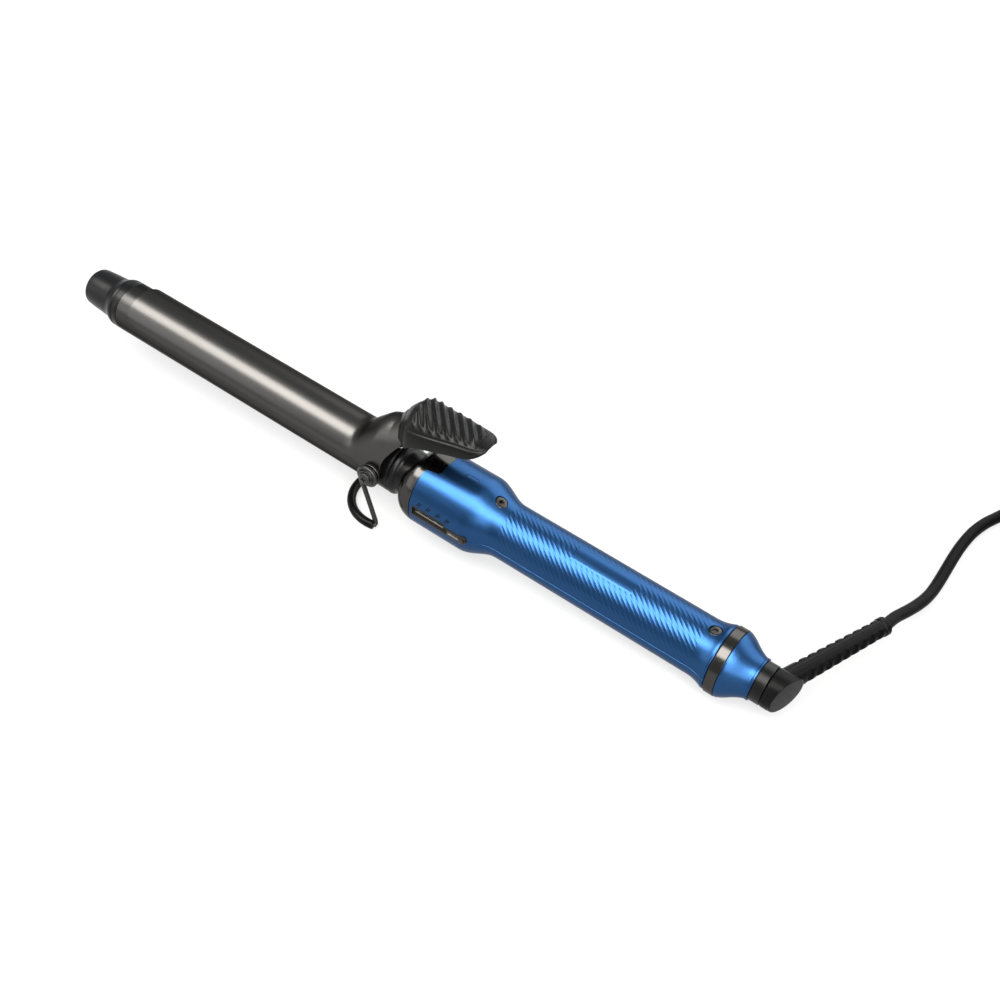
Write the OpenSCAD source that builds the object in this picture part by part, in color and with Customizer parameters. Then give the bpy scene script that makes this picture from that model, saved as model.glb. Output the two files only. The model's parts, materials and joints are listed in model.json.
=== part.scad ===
// Curling iron with a spring clamp, a folding wire stand and a swivel cord.
// The iron is drawn along +X from its front end, then tipped to rest on its stand and tail ring.

/* [Barrel] */
// Radius of the heated barrel
barrel_r = 12.5; // [11:0.1:13]
// Wall of the barrel tube
barrel_wall = 0.8; // [0.6:0.1:1]
// Length of the cool tip in front of the barrel
tip_len = 26; // [20:1:32]

/* [Clamp] */
// Sheet thickness of the clamp
sheet_t = 0.9; // [0.7:0.1:0.9]
// Half angle that the clamp wraps round the barrel
clamp_wrap = 78; // [66:1:80]

/* [Handle] */
// Radius of the handle's head
head_r = 18.25; // [17.8:0.05:18.6]
// Radius of the grip
grip_r = 13.1; // [12.6:0.1:13.6]
// Radius of the metal ring at the tail
ring_r = 15.45; // [15:0.05:15.8]
// Wall of the handle shells
shell_wall = 2.2; // [1.8:0.1:2.4]

/* [Stand] */
// Depth of the stand's foot below the barrel's axis
foot_drop = 24; // [23:0.5:26]
// Half width of the foot's bow
foot_r = 19.6; // [19:0.1:20.5]
// Radius of the stand's wire
wire_r = 1.15; // [1:0.05:1.2]
// Outer radius of the rubber sleeve on the foot
sleeve_r = 2.1; // [2:0.1:2.4]

/* [Cord] */
// Diameter of the mains cord
cord_d = 5.4; // [5:0.1:6]
// Radius of the coil at the middle of its turns
coil_r = 30; // [29.5:0.5:31]

/* [Hidden] */
$fn = 96;
eps = 0.01;

// Stations along the axis, counted from the barrel's front edge
barrel_end = 160;
base_end = 175.6;
nose_s = 179.2;
trim_end = 189.2;
shoulder_s = 215.5;
grip_s = 232;
flare_s = 330;
shell_end = 339.4;
ring_end = 344;
cone_end = 356.7;
bush_end = 361.6;
knob_s = 362;
knob_end = 369.4;

// Resting pose: the floor touches the tail ring's rear edge and the sleeve under the foot
foot_s = 158;
mid_s = 172.79;
pose_a = ring_end - foot_s;
pose_b = foot_drop - ring_r;
pitch = asin(sleeve_r / norm([pose_a, pose_b])) + atan2(pose_b, pose_a);
axis_h = (ring_end - mid_s) * sin(pitch) + ring_r * cos(pitch);

// A point of the iron's own frame, in the resting frame
function rest(p) = [
    (p.x - mid_s) * cos(pitch) + p.z * sin(pitch),
    p.y,
    -(p.x - mid_s) * sin(pitch) + p.z * cos(pitch) + axis_h
];

// Pivot of the clamp and the stand
pivot = [165.2, 0, 3.4];
pin_r = 1.5;
play = 0.06;
gap = 0.3;
ear_y = 13.95;
ear_t = 1.3;
inner_washer_y = ear_y + ear_t + gap;
eyelet_y = inner_washer_y + 0.6;
eyelet_t = 2.1;
eyelet_r = 4.6;
outer_washer_y = eyelet_y + eyelet_t + gap;
screw_head_y = outer_washer_y + 0.4;
bush_r = eyelet_r - wire_r - play;

// Slide switch bay on the near side of the head
bay_wide = [191, 209.4];
bay_narrow = [209, 221];
bay_low = -2.3;
bay_high = 3.3;
bay_step = 2.1;
bay_floor = 16.9;

// Screws that hold the shells together with their plugs, the window, and the screw under the thumb pad
screw_s = [226, 333.4];
plug_r = 2.7;
lens_s = 209.8;
pad_screw_s = 177.4;

// Places in the resting frame
relief_dir = [sin(19), cos(19), -0.045];
relief_len = 57;
relief_start = [knob_s + 1.2, 0, 0.6];
relief_root = 8.4;
relief_tip = relief_start + relief_dir * (relief_root + relief_len);

// Route of the free cord, from the strain relief to the coil
lead_route = [
    [212.3, 70, 9], [214.3, 77, 7.6], [216, 84, 6], [217.3, 91, 4.6], [217.9, 98, 3.5],
    [217.9, 105, 2.9], [217.6, 113, 2.7], [217.2, 121, 2.7], [216.9, 129, 2.7], [217, 137, 2.7],
    [217.8, 146, 2.7], [219.9, 155, 2.7], [223.4, 163.7, 2.7], [226.9, 172.5, 2.7], [229.2, 177.5, 2.7]
];
coil_c = [270, 190];
coil_out = coil_r + 11;
coil_in = coil_r - 11;
layers = 4;
coil_h = layers * cord_d + 0.1;
// Route from the coil to the plug
tail_route = [
    [308, 188, 18.9], [308.3, 180, 18.5], [309.2, 170, 16.4], [310.6, 160, 13.2], [312, 150, 9.8],
    [312.8, 142, 7.6], [313, 136.1, 6.9]
];
plug_at = [313, 100, 6.9];
pin_gap = 18.6;
pin_len = 19;
plug_pin_r = 2;
shank_r = 1.7;

// ---------- helpers ----------

// Stands a piece of the iron in its resting pose
module resting() {
    translate([0, 0, axis_h]) rotate([0, pitch, 0]) translate([-mid_s, 0, 0]) children();
}

// A solid of revolution about the iron's axis, from points [station, radius]
module turned(points, angle = 360) {
    rotate([0, 90, 0]) rotate_extrude(angle = angle) polygon([for (p = points) [p[1], p[0]]]);
}

// A tube between two stations
module tube(s1, s2, r_out, r_in) {
    turned([[s1, r_in], [s1, r_out], [s2, r_out], [s2, r_in]]);
}

// A disc or shaft along the iron between two stations
module shaft(s1, s2, r) {
    translate([s1, 0, 0]) rotate([0, 90, 0]) cylinder(r = r, h = s2 - s1);
}

// A round rod between two points
module rod(a, b, r) {
    d = b - a;
    translate(a) rotate([0, acos(d.z / norm(d)), atan2(d.y, d.x)]) cylinder(r = r, h = norm(d), $fn = 32);
}

// A cylinder across the iron at the pivot, on one side
module cross(y1, y2, r, side) {
    translate([pivot.x, side * y1, pivot.z]) rotate([-90 * side, 0, 0]) cylinder(r = r, h = y2 - y1, $fn = 48);
}

// Joins closed sections, all with the same number of points, into one solid
module loft(sections) {
    n = len(sections[0]);
    m = len(sections);
    points = [for (sec = sections) each sec];
    sides = [
        for (i = [0 : m - 2]) for (k = [0 : n - 1]) each [
            [i * n + k, i * n + (k + 1) % n, (i + 1) * n + k],
            [i * n + (k + 1) % n, (i + 1) * n + (k + 1) % n, (i + 1) * n + k]
        ]
    ];
    first = [for (k = [n - 1 : -1 : 0]) k];
    last = [for (k = [0 : n - 1]) (m - 1) * n + k];
    polyhedron(points, concat([first], sides, [last]));
}

// Unit direction of a route at one of its points
function along(route, i) =
    let (a = route[max(i - 1, 0)], b = route[min(i + 1, len(route) - 1)]) (b - a) / norm(b - a);

// Ring of a round tube at one point of its route
function ring_at(p, dir, r, sides) =
    let (side = cross_z(dir), up = cross(side, dir))
    [for (k = [0 : sides - 1]) p + r * (cos(360 * k / sides) * side + sin(360 * k / sides) * up)];
function cross_z(dir) = let (v = cross(dir, [0, 0, 1])) v / norm(v);

module swept(route, r, sides) {
    loft([for (i = [0 : len(route) - 1]) ring_at(route[i], along(route, i), r, sides)]);
}

// Smooth step from 0 to 1
function ease(t) = 3 * t * t - 2 * t * t * t;

// Radius of the shoulder between head and grip
function shoulder(s) = head_r + (grip_r - head_r) * ease((s - shoulder_s) / (grip_s - shoulder_s));
// Radius of the flare in front of the tail ring
function flare(s) = grip_r + (ring_r - 0.5 - grip_r) * pow((s - flare_s) / (shell_end - 1.4 - flare_s), 2);

// Outline of the handle shells behind the trim
shell_outline = concat(
    [[trim_end, head_r], [shoulder_s, head_r]],
    [for (i = [1 : 9]) let (s = shoulder_s + i * (grip_s - shoulder_s) / 10) [s, shoulder(s)]],
    [[grip_s, grip_r]],
    [for (i = [0 : 6]) let (s = flare_s + i * (shell_end - 1.4 - flare_s) / 6) [s, flare(s)]],
    [[shell_end - 0.5, ring_r - 0.35], [shell_end, ring_r - 0.55]]
);

// One half of the handle's hollow shell, as a revolved half turn
module shell_half(turn) {
    inner = [for (i = [len(shell_outline) - 1 : -1 : 0]) shell_outline[i] - [0, shell_wall]];
    rotate([turn, 0, 0]) turned(concat(shell_outline, inner), 180);
}

// Plan of the trim's tab, seen from above, with rounded rear corners
module tab_plan(grow) {
    half = 6.9 + grow;
    back = 196.9 + grow;
    corner = 1.7;
    flare = [for (k = [0 : 8]) [189.4 + 1.9 * k / 8, half + 4.6 * pow(1 - k / 8, 2.4)]];
    edge = concat([[186, half + 8]], flare, [[back - corner, half]]);
    translate([0, 0, 8]) linear_extrude(14) union() {
        polygon(concat([for (p = edge) [p.x, -p.y]], [for (i = [len(edge) - 1 : -1 : 0]) edge[i]]));
        translate([190, corner - half]) square([back - 190, 2 * (half - corner)]);
        for (side = [-1, 1]) translate([back - corner, side * (half - corner)]) circle(r = corner, $fn = 32);
    }
}

// Plan of the switch bay, seen from the side, shrunk by a margin
module bay_plan(margin) {
    translate([bay_wide[0] + margin, bay_low + margin])
        square([bay_wide[1] - bay_wide[0] - 2 * margin, bay_high - bay_low - 2 * margin]);
    translate([bay_narrow[0] - 2 * margin, bay_low + margin])
        square([bay_narrow[1] - bay_narrow[0] + margin - 1, bay_step - bay_low - 2 * margin]);
    end_r = (bay_step - bay_low) / 2 - margin;
    translate([bay_narrow[1] - margin - end_r, (bay_step + bay_low) / 2]) circle(r = end_r, $fn = 32);
}

// The bay's plan pushed through the near wall, between two depths
module bay_block(margin, y1, y2) {
    translate([0, -y1, 0]) rotate([90, 0, 0]) linear_extrude(y2 - y1) bay_plan(margin);
}

// ---------- heated barrel ----------

module cool_tip() {
    color("#262524") resting() turned([
        [-tip_len, 0], [-tip_len, 7.4], [-tip_len + 0.5, 8.6], [-tip_len + 1.3, 9.4], [-19.6, 9.9],
        [-14.7, 10.2], [-9.8, 10.5], [-8.6, 10.9], [-6.4, 12], [-5.2, 12.4], [-4.1, 12.4],
        [-3.9, 12.1], [-3.5, 12.1], [-3.3, 12.45], [0, 12.45], [0, 11.5], [8, 11.5], [8, 9.4],
        [-22, 7.6], [-22, 0]
    ]);
}

module barrel() {
    color("#6e6a66") resting() tube(0.05, barrel_end, barrel_r, barrel_r - barrel_wall);
}

// Half round block that presses against the barrel's inside
module spreader(side) {
    resting() difference() {
        shaft(20, 138, barrel_r - barrel_wall - 0.1);
        translate([10, -20, side > 0 ? -20 : -1.4]) cube([140, 40, 21.4]);
        for (y = [-7, 7]) translate([10, y, side * 4.6]) rotate([0, 90, 0]) cylinder(r = 1.5, h = 140, $fn = 24);
    }
}

module heat_spreader_upper() { color("#b9bcc0") spreader(1); }
module heat_spreader_lower() { color("#b9bcc0") spreader(-1); }

module ptc_heater() {
    color("#f2efe8") resting() translate([34, -5, -1.3]) cube([90, 10, 2.6]);
}

module thermal_fuse() {
    color("#d8c9a0") resting() translate([142, 0, 5.4]) rotate([0, 90, 0]) cylinder(r = 1.6, h = 11, $fn = 32);
}

module temperature_sensor() {
    color("#e2a13c") resting() translate([141, 0, -6]) rotate([0, 90, 0]) union() {
        sphere(r = 1.5, $fn = 24);
        cylinder(r = 0.7, h = 14, $fn = 24);
    }
}

// Glass fibre covered wires from the heater to the circuit board
module heater_leads() {
    color("#e9e4d8") resting() for (y = [-3, 3])
        swept([
            [124.1, y, 0], [158, y, 0], [161, y, -0.2], [164, y, -0.7], [192, y, -3.8], [195, y, -4], [198, y, -3.9]
        ], 0.85, 12);
}

// ---------- base and pivot ----------

module base_collar() {
    color("#1d1c1c") resting() difference() {
        union() {
            turned([
                [148, 9.6], [148, 11.6], [barrel_end + 0.05, 11.6], [barrel_end + 0.05, 12.5], [171.2, 12.5],
                [171.5, 12.1], [172.1, 12.1], [172.4, 12.6], [173.4, 12.6], [174.3, 12.2],
                [174.9, 11.5], [base_end, 10.9], [182, 10.9], [182, 9.6], [195.4, 9.6],
                [195.4, 7.2], [184, 7.2], [170, 9.6]
            ]);
            for (side = [-1, 1]) cross(10, ear_y - 0.35, 3.4, side);
            translate([170.4, 0, 9.8]) cylinder(r = 3.1, h = 3.6, $fn = 48);
        }
        for (side = [-1, 1]) cross(9, ear_y, pin_r, side);
        shaft(150, 181, 9.55);
        translate([170.4, 0, 11]) cylinder(r = 2.5, h = 4, $fn = 48);
    }
}

module pivot_screws() {
    color("#2b2a29") resting() for (side = [-1, 1]) difference() {
        union() {
            cross(9.8, screw_head_y + eps, pin_r, side);
            cross(screw_head_y, screw_head_y + 0.8, 3.1, side);
            cross(screw_head_y + 0.79, screw_head_y + 1.25, 2.5, side);
        }
        for (turn = [0, 90])
            translate([pivot.x, side * (screw_head_y + 1), pivot.z]) rotate([0, turn + 20, 0])
                cube([3.2, 1, 0.7], center = true);
    }
}

// Bushes that the stand's eyelets turn on
module pivot_bushes() {
    color("#77736f") resting() for (side = [-1, 1]) difference() {
        cross(inner_washer_y + 0.3, outer_washer_y, bush_r, side);
        cross(ear_y, outer_washer_y + 1, pin_r, side);
    }
}

module pivot_washers() {
    color("#4a4846") resting() for (side = [-1, 1]) difference() {
        union() {
            cross(inner_washer_y, inner_washer_y + 0.3, 4.4, side);
            cross(outer_washer_y, outer_washer_y + 0.4, 3.9, side);
        }
        cross(ear_y, outer_washer_y + 1, pin_r, side);
    }
}

// ---------- handle ----------

// Rounded gunmetal nose of the handle, with a tab that runs back over the upper shell
module front_trim() {
    nose_len = trim_end - nose_s;
    nose_rise = head_r - 11;
    nose = [for (a = [0 : 10 : 90]) [nose_s + nose_len * (1 - cos(a)), 11 + nose_rise * sin(a)]];
    color("#57534f") resting() difference() {
        union() {
            turned(concat(
                [[nose_s, 10.95]], nose,
                [[trim_end, 14.2], [184.5, 14.2], [183, 11.4], [183, 10.95]]
            ));
            intersection() {
                tube(trim_end - 0.5, 198, head_r, head_r - 1.2);
                tab_plan(0);
            }
        }
        translate([181.4, 0, 11]) rotate([0, -52.2, 0]) translate([-12, -20, 0]) cube([30, 40, 12]);
    }
}

module handle_upper() {
    color("#2f6fb5") resting() difference() {
        union() {
            shell_half(90);
            for (s = screw_s) intersection() {
                translate([s, 0, 1]) cylinder(r = 3.9, h = 20, $fn = 48);
                rotate([90, 0, 0]) shell_core(0);
            }
            rib(1);
        }
        intersection() {
            tube(trim_end - 1, 198, head_r + 1, head_r - 1.25);
            tab_plan(0.05);
        }
        bay_block(-0.1, 12, 22);
        for (s = screw_s) {
            translate([s, 0, 0]) cylinder(r = 1.3, h = 20, $fn = 32);
            translate([s, 0, 7]) cylinder(r = plug_r + 0.1, h = 20, $fn = 48);
        }
        translate([lens_s, 0, 13]) lens_shape(10, 0.05);
    }
}

module handle_lower() {
    color("#2f6fb5") resting() difference() {
        union() {
            shell_half(-90);
            for (s = screw_s) intersection() {
                translate([s, 0, -20]) cylinder(r = 3.6, h = 20.4, $fn = 48);
                rotate([90, 0, 0]) shell_core(0);
            }
            rib(-1);
        }
        bay_block(-0.1, 12, 22);
        for (s = screw_s) translate([s, 0, -9]) cylinder(r = 1, h = 20, $fn = 32);
    }
}

// Space inside the shells, filled, for trimming what stands in it
module shell_core(cut) {
    turned(concat([[trim_end, 0]], [for (p = shell_outline) p - [0, 0.6 + cut]], [[shell_end, 0]]));
}

// Half ring inside the shells that grips the base's tail
module rib(side) {
    rotate([90 * side, 0, 0]) turned([[190.4, 9.65], [190.4, 16.4], [192.6, 16.4], [192.6, 9.65]], 180);
}

module shell_screws() {
    color("#9a9a98") resting() for (s = screw_s) {
        translate([s, 0, -6]) cylinder(r = 0.99, h = 13.1, $fn = 32);
        translate([s, 0, 7.02]) cylinder(r = 2.2, h = 1.6, $fn = 32);
    }
}

module screw_plugs() {
    color("#4b4744") resting() for (i = [0, 1]) {
        top = i == 0 ? shoulder(screw_s[0] + plug_r) - 0.4 : flare(screw_s[1] - plug_r) - 0.4;
        translate([screw_s[i], 0, 9]) difference() {
            cylinder(r = plug_r, h = top - 9, $fn = 48);
            translate([0, 0, top - 9.35]) cylinder(r = 1.3, h = 1, $fn = 6);
        }
    }
}

module slider_bezel() {
    color("#3a322b") resting() difference() {
        intersection() {
            bay_block(0, 15.6, 20);
            shaft(186, 225, head_r + 0.12);
        }
        bay_block(0.45, bay_floor, 22);
        translate([196, -20, 0.75]) cube([20.2, 6, 1.1]);
    }
}

module slider_rail() {
    color("#d9d4cc") resting() translate([192.6, -bay_floor - 0.35, -0.95]) cube([15.6, 0.35, 1.1]);
}

module slider_knob() {
    color("#2a2725") resting() difference() {
        union() {
            translate([211, -head_r - 0.25, -1.55]) cube([8.4, 0.95, 3.1]);
            translate([218.9, -head_r + 0.7, -0.05]) rotate([90, 0, 0]) cylinder(r = 1.5, h = 1.5, $fn = 32);
            translate([213.2, -head_r + 0.3, 0.9]) cube([2, 3.4, 0.8]);
        }
        translate([211.6, -head_r - 1, -0.85]) cube([5.8, 1.1, 0.9]);
    }
}

module slider_inlay() {
    color("#e4ded4") resting() translate([211.65, -head_r - 0.32, -0.8]) cube([5.7, 0.4, 0.8]);
}

module circuit_board() {
    color("#1f6b3a") resting() union() {
        translate([196.6, -11, -6.6]) cube([24, 22, 1.6]);
        translate([203, 4.6, -5.01]) cube([7, 5, 2]);
        translate([214, 3, -5.01]) cube([4, 6, 3]);
    }
}

module slide_switch() {
    color("#8d8f92") resting() difference() {
        translate([196.4, -14.4, -2.6]) cube([21, 6, 6]);
        translate([197, -15, 0.7]) cube([19.4, 2, 1.2]);
    }
}

module indicator_led() {
    color("#e8e8e2") resting() union() {
        translate([211, 0, -4.95]) cylinder(r = 1.6, h = 16.16, $fn = 32);
        translate([211, 0, 11.2]) sphere(r = 1.6, $fn = 24);
    }
}

// Long round-ended shape of the indicator window
module lens_shape(h, grow) {
    for (s = [-2.2, 2.2]) translate([s, 0, 0]) cylinder(r = 1.15 + grow, h = h, $fn = 32);
    translate([-2.2, -1.15 - grow, 0]) cube([4.4, 2.3 + 2 * grow, h]);
}

module indicator_lens() {
    color("#5a8cc4") resting() intersection() {
        translate([lens_s, 0, 14.5]) lens_shape(4, 0);
        shaft(200, 222, head_r - 0.35);
    }
}

module tail_ring() {
    color("#6d6863") resting() turned([
        [shell_end + 0.1, 11.3], [shell_end + 0.1, ring_r - 0.15], [shell_end + 0.35, ring_r],
        [ring_end - 0.2, ring_r], [ring_end, ring_r - 0.1], [ring_end, 11.3]
    ]);
}

module tail_cone() {
    color("#2f6fb5") resting() turned([
        [336.6, 9.6], [336.6, 10.6], [shell_end, 11.2], [ring_end + 0.05, 11.2], [ring_end + 0.05, 15],
        [ring_end + 0.4, 15.25], [ring_end + 1.1, 15.1], [347.3, 14], [349, 12.9], [350.5, 11.9],
        [352.2, 10.9], [353.8, 10.1], [355.3, 9.6], [355.6, 9.75], [cone_end, 9.7], [cone_end, 8],
        [350.2, 8], [345.5, 9.6]
    ]);
}

// Bush that the swivel turns in
module swivel_bush() {
    color("#161616") resting() turned([
        [350.4, 4.56], [350.4, 7.9], [cone_end + 0.05, 7.95], [cone_end + 0.05, 9.05],
        [bush_end - 0.3, 9.05], [bush_end, 8.8], [bush_end, 4.56]
    ]);
}

module contact_springs() {
    color("#b98a3e") resting() for (s = [338.7, 341.5]) for (side = [-1, 1])
        translate([s - 0.6, side * 6.26 - 0.9, -2]) cube([1.2, 1.8, 4]);
}

// ---------- clamp ----------

// Stations of the clamp: [station, half width, ridge height, half angle of the arch]
clamp_stations = concat(
    [[8.6, 13.7, 13.7, 62], [9.4, 13.7, 13.7, 69], [11, 13.7, 13.7, 74], [15, 13.7, 13.7, clamp_wrap]],
    [for (s = [40 : 35 : 145]) [s, 13.7, 13.7, clamp_wrap]],
    [
        [149, 13.75, 14.2, clamp_wrap], [152, 13.9, 16.4, 81], [155, 14.2, 19.6, 85], [158, 14.6, 22.6, 88],
        [161, 14.9, 25.6, 90], [163, 15, 27.4, 92.5], [166, 15, 29, 93], [168.6, 15, 29.9, 93],
        [169.2, 15, 30.1, 88], [169.8, 15, 30.4, 69], [172.7, 15, 31.8, 56], [175.5, 15, 33, 48],
        [178, 15, 34, 41], [180.5, 15, 35, 33], [182.5, 15, 35.6, 22]
    ]
);

// Arch of one station: the outer curve one way and the inner curve back
function clamp_section(c) = let (
    n = 18,
    arc = function(inset, i) let (f = c[3] * (2 * i / n - 1))
        [c[0], (c[1] - inset) * sin(f), (c[2] - inset) * cos(f)]
) concat([for (i = [0 : n]) arc(0, i)], [for (i = [n : -1 : 0]) arc(sheet_t, i)]);

module clamp_sheet() {
    color("#67635f") resting() difference() {
        union() {
            loft([for (c = clamp_stations) clamp_section(c)]);
            for (side = [-1, 1]) cross(ear_y, ear_y + ear_t, 5, side);
        }
        for (side = [-1, 1]) cross(9, 17, pin_r + play, side);
        translate([pad_screw_s, 0, 30]) cylinder(r = 1.3, h = 8, $fn = 32);
    }
}

// Stations of the thumb pad: [station, half width, rim height, crest height, height under the crest]
pad_stations = [
    [171, 8.6, 27.5, 33.4, 31.5], [172, 9.2, 27.2, 35, 31.9], [173.5, 10.1, 27, 37.4, 32.5],
    [175, 10.9, 27, 39.7, 33.3], [176.6, 11.6, 27.1, 41.7, 34.2], [178, 12.1, 27.4, 43.1, 35],
    [179.4, 12.5, 27.8, 43.9, 35.8], [181, 12.7, 28.4, 44.1, 36.6], [183, 12.8, 29.4, 43.8, 37.4],
    [186, 12.7, 31, 43.3, 38.2], [190, 12.3, 32.4, 43.2, 38.9], [195, 11.7, 33.8, 43.5, 39.6],
    [200, 11, 35.2, 43.9, 40.4], [205, 10.1, 36.3, 44.2, 41], [210, 9.4, 37.5, 44.4, 41.4],
    [213.5, 8.5, 38.9, 44.3, 41.7], [216.2, 6.7, 40.5, 43.8, 42], [218, 4, 42, 43.2, 42.6]
];

// Full sided outer curve of the pad one way, and its hollow underside back
function pad_section(c) = let (
    n = 16,
    wall = min(1.5, 0.3 * c[1]),
    lift = 0.3,
    full = function(v, k) sign(v) * pow(abs(v), k),
    angle = function(i) 90 * (2 * i / n - 1)
) concat(
    [for (i = [0 : n]) let (f = angle(i)) [c[0], c[1] * full(sin(f), 0.85), c[2] + (c[3] - c[2]) * full(cos(f), 0.75)]],
    [
        for (i = [n : -1 : 0]) let (f = angle(i))
            [c[0], (c[1] - wall) * sin(f), c[2] + lift + (c[4] - c[2] - lift) * cos(f)]
    ]
);

module thumb_pad() {
    color("#2b2a29") resting() difference() {
        loft([for (c = pad_stations) pad_section(c)]);
        translate([pad_screw_s, 0, 30]) cylinder(r = 1.1, h = 10, $fn = 32);
    }
}

module pad_screw() {
    color("#8f8f8d") resting() translate([pad_screw_s, 0, 0]) {
        translate([0, 0, 31.9]) cylinder(r = 1.08, h = 8, $fn = 32);
        translate([0, 0, 30.9]) cylinder(r = 2, h = 1.1, $fn = 32);
    }
}

// Compression spring between the base and the underside of the clamp's arm
module clamp_spring() {
    turns = 6;
    steps = 12;
    rise = 16;
    coil = [for (i = [0 : turns * steps]) let (a = 360 * i / steps)
        [170.4 + 1.9 * cos(a), 1.9 * sin(a), 11.4 + rise * i / (turns * steps)]];
    color("#c9c9c6") resting() swept(coil, 0.4, 8);
}

// ---------- stand ----------

// One leg's points on a side, in the iron's frame, from the eyelet down to the foot
function leg_points(side) = [
    [160.4, side * 17.2, 2.9], [161.1, side * 17.2, 1.2], [165.4, side * 17.25, -9.7],
    [169.6, side * 17.3, -20.4], [170.5, side * 17.4, -22.4], [170.9, side * 17.7, -23.5],
    [170.8, side * 18.3, -23.9], [170.1, side * 18.8, -23.7]
];
bow_c = [rest([165.6, 0, 0]).x, 0, sleeve_r];
bow_extra = 10;
function bow_point(a) = bow_c + foot_r * [cos(a), sin(a), 0];
near_leg = [for (p = leg_points(-1)) rest(p)];
far_leg = [for (p = leg_points(1)) rest(p)];
stand_route = concat(
    near_leg,
    [for (a = [270 + bow_extra - 2 : -4 : 90 - bow_extra + 2]) bow_point(a)],
    [for (i = [len(far_leg) - 1 : -1 : 0]) far_leg[i]]
);

module stand_wire() {
    color("#1c1b1b") difference() {
        union() {
            swept(stand_route, wire_r - 0.01, 16);
            resting() for (side = [-1, 1]) cross(eyelet_y, eyelet_y + eyelet_t, eyelet_r + wire_r, side);
        }
        resting() for (side = [-1, 1]) cross(eyelet_y - 1, eyelet_y + eyelet_t + 1, bush_r + play, side);
    }
}

module stand_sleeve() {
    color("#2a2929") translate(bow_c) rotate([0, 0, 90 - bow_extra])
        rotate_extrude(angle = 180 + 2 * bow_extra) translate([foot_r, 0]) difference() {
            circle(r = sleeve_r, $fn = 32);
            circle(r = wire_r + play, $fn = 32);
        }
}

// ---------- swivel and cord ----------

// Swivel knob with a slanted end, its spindle and the clip's groove
module swivel_knob() {
    color("#1a1a1a") resting() difference() {
        union() {
            intersection() {
                turned([[knob_s, 0], [knob_s, 8.7], [knob_s + 0.4, 9], [376, 9], [376, 0]]);
                translate([knob_end, 0, 0]) rotate([0, 0, -19]) turned([
                    [-30, 0], [-30, 40], [-1.6, 40], [-1.6, 9.4], [-1.1, 9.3], [-0.5, 8.9], [-0.1, 8.2], [0, 7.2],
                    [0, 0]
                ]);
            }
            shaft(337.4, knob_s + 1, 4.5);
        }
        shaft(343.6, 344.5, 6);
        shaft(330, 364.5, 2.4);
        translate(relief_start) rod_along(relief_dir, 14, 2.9);
    }
    color("#1a1a1a") resting() difference() {
        shaft(343, 345.1, 3.6);
        shaft(340, 348, 2.4);
    }
}

// A round bar from the origin along a direction
module rod_along(dir, length, r) {
    rod([0, 0, 0], dir * length, r);
}

module swivel_clip() {
    color("#a8a8a4") resting() difference() {
        shaft(343.7, 344.4, 6.3);
        shaft(343, 345, 3.65);
        translate([343, -1.6, -8]) cube([2, 3.2, 8]);
    }
}

module slip_rings() {
    color("#c79a4b") resting() for (s = [337.7, 340.5]) tube(s, s + 2, 5.3, 4.5);
}

// Direction of the relief in a frame with its own length along Z
module relief_frame() {
    resting() translate(relief_start)
        rotate([0, acos(relief_dir.z / norm(relief_dir)), atan2(relief_dir.y, relief_dir.x)]) children();
}

module strain_relief() {
    slots = 9;
    slot_pitch = 5.2;
    color("#1f1f1f") difference() {
        union() {
            relief_frame() translate([0, 0, 4]) cylinder(r = 2.85, h = 7, $fn = 48);
            difference() {
                relief_frame() union() {
                    translate([0, 0, 6]) cylinder(r1 = 5, r2 = 4.05, h = relief_root + relief_len - 9);
                    translate([0, 0, relief_root + relief_len - 3.2]) cylinder(r = 4.25, h = 3.2);
                }
                resting() shaft(350, 385, 9.04);
            }
        }
        relief_frame() translate([0, 0, 3]) cylinder(r = 2.1, h = relief_root, $fn = 48);
        relief_frame() for (i = [0 : slots - 1]) for (side = [-1, 1])
            translate([-2.6, side * 4.6 - 1.2, relief_root + 7 + i * slot_pitch]) cube([5.2, 2.4, 2.2]);
    }
}

module cord_lead() {
    color("#1c1c1c") swept(concat([rest(relief_tip)], lead_route), cord_d / 2, 10);
}

module cord_coil() {
    color("#1c1c1c") translate([coil_c.x, coil_c.y, 0]) rotate_extrude() union() {
        translate([coil_in + cord_d / 2, 0]) square([coil_out - coil_in - cord_d, coil_h]);
        translate([coil_in, cord_d / 2]) square([coil_out - coil_in, coil_h - cord_d]);
        for (r = [coil_in, coil_out - cord_d]) for (z = [0, coil_h - cord_d])
            translate([r + cord_d / 2, z + cord_d / 2]) circle(r = cord_d / 2, $fn = 32);
    }
}

module cord_tail() {
    color("#1c1c1c") swept(tail_route, cord_d / 2, 10);
}

// Flat two-pin plug lying on its side face, with its pins pointing along -Y
module plug_body() {
    body_len = 24;
    color("#1b1b1b") translate(plug_at) rotate([90, 0, 0]) difference() {
        linear_extrude(body_len, center = true) union() {
            for (side = [-1, 1]) translate([side * 10.4, 0]) circle(r = 6.85, $fn = 64);
            square([20.8, 13.7], center = true);
        }
        for (side = [-1, 1]) translate([side * pin_gap / 2, 0, 0]) cylinder(r = shank_r, h = 20, $fn = 48);
    }
}

module plug_pins() {
    color("#cfae62") translate(plug_at) rotate([90, 0, 0]) for (side = [-1, 1])
        translate([side * pin_gap / 2, 0, 0]) union() {
            translate([0, 0, 0.05]) cylinder(r = shank_r, h = 12.5, $fn = 48);
            translate([0, 0, 12.02]) cylinder(r = plug_pin_r, h = pin_len, $fn = 48);
        }
}

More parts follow.
